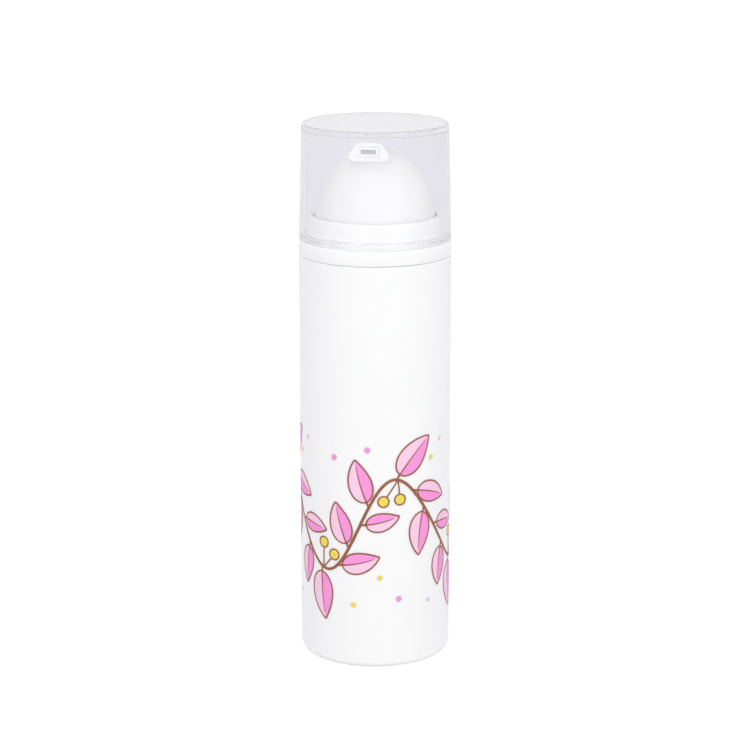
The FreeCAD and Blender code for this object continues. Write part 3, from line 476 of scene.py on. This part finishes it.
# Shoulder ring: the white band over the bottle's mouth and the sleeve that guides the head. It is
# moulded in white polypropylene and snaps over the carrier, flush with the bottle.
dress(moulded_plastic("shoulder white", (0.90, 0.90, 0.905), 0.36, glow=0.0008), "shoulder_ring")

# Head: the domed cap of the pump with its forward nose, pressed onto the stem. It is moulded in
# white polypropylene with a slightly softer polish than the bottle.
dress(moulded_plastic("head white", (0.90, 0.90, 0.91), 0.4, 0.015, 2.5e-6, 5e-7, glow=0.0005),
      "actuator_head")

# Nozzle insert: the small plug with the outlet slot, pressed into the nose. It is moulded in the
# same white, with a crisp polish on its face, and the slot's floor and walls are greyed with
# painted shade, deeper into the slot.


def tint(material, share, colour):
    """Mix another colour into a material's own by a share."""
    tree = material.node_tree
    shader = next(node for node in tree.nodes if node.type == "BSDF_PRINCIPLED")
    base = shader.inputs["Base Color"]
    mixed = add_node(tree, "ShaderNodeMixRGB", {0: share, 1: base.links[0].from_socket, 2: colour})
    tree.links.new(mixed.outputs[0], base)


NOSE_TILT = math.radians(12.0)
nose_forward = Vector((0.0, -math.cos(NOSE_TILT), math.sin(NOSE_TILT)))
insert_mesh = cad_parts["nozzle_insert"].data
nose_face = max(corner.co.dot(nose_forward) for corner in insert_mesh.vertices)
FACE_DEPTH, SLOT_DEPTH = 0.0002, 0.0008
nozzle_white = moulded_plastic("nozzle white", (0.90, 0.90, 0.91), 0.36)
tree = nozzle_white.node_tree
# Painted shade in the slot: the white turns grey from just behind the nose's face down to the
# slot's floor
forward = add_node(tree, "ShaderNodeVectorMath", {0: place_on_piece(tree), 1: nose_forward},
                   operation="DOT_PRODUCT").outputs["Value"]
slot_shade_share = add_node(tree, "ShaderNodeMapRange", {
    "Value": forward, "From Min": nose_face - FACE_DEPTH, "From Max": nose_face - SLOT_DEPTH})
tint(nozzle_white, slot_shade_share.outputs[0], (0.66, 0.66, 0.67, 1.0))
dress(nozzle_white, "nozzle_insert")

# Overcap: the clear tapered cap that stands on the shoulder and clicks over its bead. It is moulded
# in clear styrene acrylonitrile, polished inside and out, and the grey it shows is painted shade on
# its far wall.
polish_marks, given, place = start_effect(
    "polish marks", {"Color": (0.9, 0.9, 0.9, 1.0), "Polish": 0.05, "Haze": 0.05})
flow = add_noise(polish_marks, place, scale=60.0, detail=2.0)
scuff = add_noise(polish_marks, place, scale=700.0, detail=5.0)
end_effect(
    polish_marks,
    colour=vary_tone(polish_marks, given["Color"], flow, 0.03),
    roughness=add_sum(polish_marks, "MULTIPLY_ADD", scuff, given["Haze"], given["Polish"]),
    normal=add_bump(polish_marks, flow, 3e-6),
)
CLEAR = (0.99, 0.99, 0.992, 1.0)
cap_clear = finished("cap clear", polish_marks, {"Color": CLEAR},
                     {"Transmission Weight": 1.0, "IOR": 1.5})

# What is seen out through the far wall is darkened by a painted grey shade, more of it at a slant.
# Points past this radius or over this height are on the cap's outer face, and the rest are on its
# inner one.
OUTSIDE_RADIUS, OUTSIDE_HEIGHT = 0.0218, 0.1633
tree = cap_clear.node_tree
spot = add_node(tree, "ShaderNodeSeparateXYZ", {0: place_on_piece(tree)}).outputs
flat = add_node(tree, "ShaderNodeCombineXYZ", {0: spot[0], 1: spot[1]}).outputs[0]
reach = add_node(tree, "ShaderNodeVectorMath", {0: flat}, operation="LENGTH").outputs["Value"]
outside = add_sum(tree, "MAXIMUM", add_sum(tree, "GREATER_THAN", reach, OUTSIDE_RADIUS),
                  add_sum(tree, "GREATER_THAN", spot[2], OUTSIDE_HEIGHT))
backfacing = add_node(tree, "ShaderNodeNewGeometry").outputs["Backfacing"]
leaving = add_sum(tree, "MULTIPLY", outside, backfacing)
facing = add_node(tree, "ShaderNodeLayerWeight", {"Blend": 0.5}).outputs["Facing"]
# Painted shade: the grey laid on the view out through the far wall, darker where the wall is seen
# at a slant
far_wall_shade = add_node(tree, "ShaderNodeMixRGB", {
    0: facing, 1: (0.60, 0.592, 0.63, 1.0), 2: (0.39, 0.383, 0.415, 1.0)})
tint(cap_clear, leaving, far_wall_shade.outputs[0])

# Lamp light and soft light pass straight through the cap, so that it throws no dark shadow
ray = add_node(tree, "ShaderNodeLightPath").outputs
passed = add_node(tree, "ShaderNodeBsdfTransparent", {"Color": CLEAR}).outputs[0]
unseen = add_sum(tree, "MAXIMUM", ray["Is Shadow Ray"], ray["Is Diffuse Ray"])
surface = next(node for node in tree.nodes if node.type == "OUTPUT_MATERIAL").inputs["Surface"]
through = add_node(tree, "ShaderNodeMixShader", {
    0: unseen, 1: surface.links[0].from_socket, 2: passed})
tree.links.new(through.outputs[0], surface)

# The cap's outline, from the middle of its top round to the middle of its ceiling: radius +
# height * 1j, and the round of each corner
cap_foot, cap_top = (corner.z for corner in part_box("overcap"))
cap_ceiling = cap_top - 0.0018
CAP_OUTLINE = (
    # Edge of the top, then the foot outside and inside
    (0.0221 + 1j * cap_top, 0.0008),
    (0.02295 + 1j * cap_foot, 0.0003),
    (0.02155 + 1j * cap_foot, 0.0003),
    # The bead that grips the shoulder, near the foot of the inner wall
    (0.021533 + 1j * (cap_foot + 0.0007), 0.0002),
    (0.02097 + 1j * (cap_foot + 0.0014), 0.0002),
    (0.021499 + 1j * (cap_foot + 0.0021), 0.0002),
    # Edge of the ceiling
    (0.0207 + 1j * cap_ceiling, 0.0006),
)
ARC_STEPS = 10
corners = [1j * cap_top, *(corner for corner, round_radius in CAP_OUTLINE), 1j * cap_ceiling]
outline = [corners[0]]
for before, (corner, round_radius), after in zip(corners, CAP_OUTLINE, corners[2:]):
    back = (before - corner) / abs(before - corner)
    on = (after - corner) / abs(after - corner)
    half = abs(cmath.phase(on / back)) / 2
    centre = corner + (back + on) / abs(back + on) * round_radius / math.sin(half)
    start = corner + back * round_radius / math.tan(half) - centre
    sweep = cmath.phase((corner + on * round_radius / math.tan(half) - centre) / start)
    outline += [centre + start * cmath.rect(1, sweep * k / ARC_STEPS) for k in range(ARC_STEPS + 1)]
outline.append(corners[-1])
# Extra rings close to the ends of each straight run keep its shading straight
EXTRA_RING = 0.00004
run = [outline[0]]
for here, there in zip(outline, outline[1:]):
    if abs(there - here) > 10 * EXTRA_RING:
        along = (there - here) / abs(there - here) * EXTRA_RING
        run += [here + along, there - along]
    run.append(there)
SEGMENTS = 256
shell = bmesh.new()
turns = [cmath.rect(1, 2 * math.pi * k / SEGMENTS) for k in range(SEGMENTS)]
rings = []
for spot in run[1:-1]:
    points = [(spot.real * turn.real, spot.real * turn.imag, spot.imag) for turn in turns]
    rings.append([shell.verts.new(point) for point in points])
bridge(shell, rings, closed=True)
for spot, edge in ((run[0], rings[0]), (run[-1], rings[-1])):
    middle = shell.verts.new((0.0, 0.0, spot.imag))
    for k in range(SEGMENTS):
        shell.faces.new((edge[k - 1], edge[k], middle))
bmesh.ops.recalc_face_normals(shell, faces=shell.faces)
cap_shell = add_piece("cap_shell", shell, cap_clear)
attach(cap_shell, "cap")
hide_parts("overcap")

# Floor: a wide sheet of matt white card that the bottle stands on, brightened to white for the
# camera and for what shines or shows through, and still darker where the bottle keeps light off.
FLOOR_REACH, FLOOR_DROP = 12.0, 0.00005
FLOOR_CORNERS = ((-1, -1), (1, -1), (1, 1), (-1, 1))
mesh = bpy.data.meshes.new("floor")
mesh.from_pydata([(x * FLOOR_REACH, y * FLOOR_REACH, -FLOOR_DROP) for x, y in FLOOR_CORNERS],
                 [], [(0, 1, 2, 3)])
floor = bpy.data.objects.new("floor", mesh)
bpy.context.scene.collection.objects.link(floor)
material, tree, surface = new_material("white card")
fibre = add_noise(tree, place_on_piece(tree), scale=900.0, detail=4.0)
paper = add_node(tree, "ShaderNodeMix", {
    "Factor": fibre, "A": (0.88, 0.88, 0.88, 1.0), "B": (0.91, 0.91, 0.91, 1.0)}, data_type="RGBA")
paper_colour = next(socket for socket in paper.outputs if socket.type == "RGBA")
card = add_node(tree, "ShaderNodeBsdfDiffuse", {"Color": paper_colour})
ray = add_node(tree, "ShaderNodeLightPath").outputs
SEEN_LIFT, MIRRORED_LIFT = 0.3, 0.16
seen = add_sum(tree, "MAXIMUM", ray["Is Camera Ray"], ray["Is Transmission Ray"])
lifted = add_sum(tree, "MAXIMUM", add_sum(tree, "MULTIPLY", seen, SEEN_LIFT),
                 add_sum(tree, "MULTIPLY", ray["Is Glossy Ray"], MIRRORED_LIFT))
lift = add_node(tree, "ShaderNodeEmission", {"Strength": lifted})
both = add_node(tree, "ShaderNodeAddShader", {0: card.outputs[0], 1: lift.outputs[0]})
tree.links.new(both.outputs[0], surface)
mesh.materials.append(material)

# Studio: a white tent all round, two soft boxes at the front, the stronger one at the right, and
# one high over the front, as a small product is lit for a catalogue.
world = bpy.data.worlds.new("white tent")
bpy.context.scene.world = world
world.use_nodes = True
tree = world.node_tree
tree.nodes.clear()
ray = add_node(tree, "ShaderNodeLightPath").outputs
seen = add_sum(tree, "MAXIMUM", ray["Is Camera Ray"],
               add_sum(tree, "MAXIMUM", ray["Is Glossy Ray"], ray["Is Transmission Ray"]))
tent = add_node(tree, "ShaderNodeBackground", {
    "Color": (0.962, 0.955, 1.0, 1.0), "Strength": 0.85})
white = add_node(tree, "ShaderNodeBackground", {"Color": (1.0, 1.0, 1.0, 1.0), "Strength": 1.0})
either = add_node(tree, "ShaderNodeMixShader", {0: seen, 1: tent.outputs[0], 2: white.outputs[0]})
add_node(tree, "ShaderNodeOutputWorld", {"Surface": either.outputs[0]})

# Each lamp's place, width and power
LAMPS = {
    "right_box": ((0.68, -0.73, 0.3), 0.36, 1.55),
    "left_box": ((-0.34, -0.94, 0.3), 0.36, 1.2),
    "high_box": ((0.0, -0.5, 1.0), 0.5, 0.8),
}
LAMP_COLOUR = (0.98, 1.0, 0.89)
lit = Vector((0.0, 0.0, 0.09))
for name, (spot, size, power) in LAMPS.items():
    lamp = bpy.data.lights.new(name, "AREA")
    lamp.shape = "SQUARE"
    lamp.size = size
    lamp.energy = power
    lamp.color = LAMP_COLOUR
    holder = bpy.data.objects.new(name, lamp)
    holder.location = spot
    holder.rotation_euler = (lit - Vector(spot)).to_track_quat("-Z", "Y").to_euler()
    bpy.context.scene.collection.objects.link(holder)

# Camera: a long lens a little above the bottle and a little to its right, as in the photograph. Its
# distance gives the perspective, and the lens the bottle's size in the frame.
camera = bpy.data.cameras.new("camera")
camera.lens = 115.02
camera.sensor_width = 36.0
camera.clip_end = 50.0
viewer = bpy.data.objects.new("camera", camera)
azimuth, elevation, distance = math.radians(8.4), math.radians(14.04), 0.7323
level = math.cos(elevation)
away = Vector((math.sin(azimuth) * level, -math.cos(azimuth) * level, math.sin(elevation)))
aim = Vector((-0.00005, 0.0, 0.0865))
turned = (-away).to_track_quat("-Z", "Y").to_matrix().to_4x4()
viewer.matrix_world = Matrix.Translation(aim + away * distance) @ turned
bpy.context.scene.collection.objects.link(viewer)
bpy.context.scene.camera = viewer
bpy.context.scene.view_settings.view_transform = "Standard"
# Light runs a long way inside the cap's clear wall before it comes out
bpy.context.scene.cycles.max_bounces = 128
bpy.context.scene.cycles.diffuse_bounces = 12
bpy.context.scene.cycles.glossy_bounces = 128
bpy.context.scene.cycles.transmission_bounces = 64
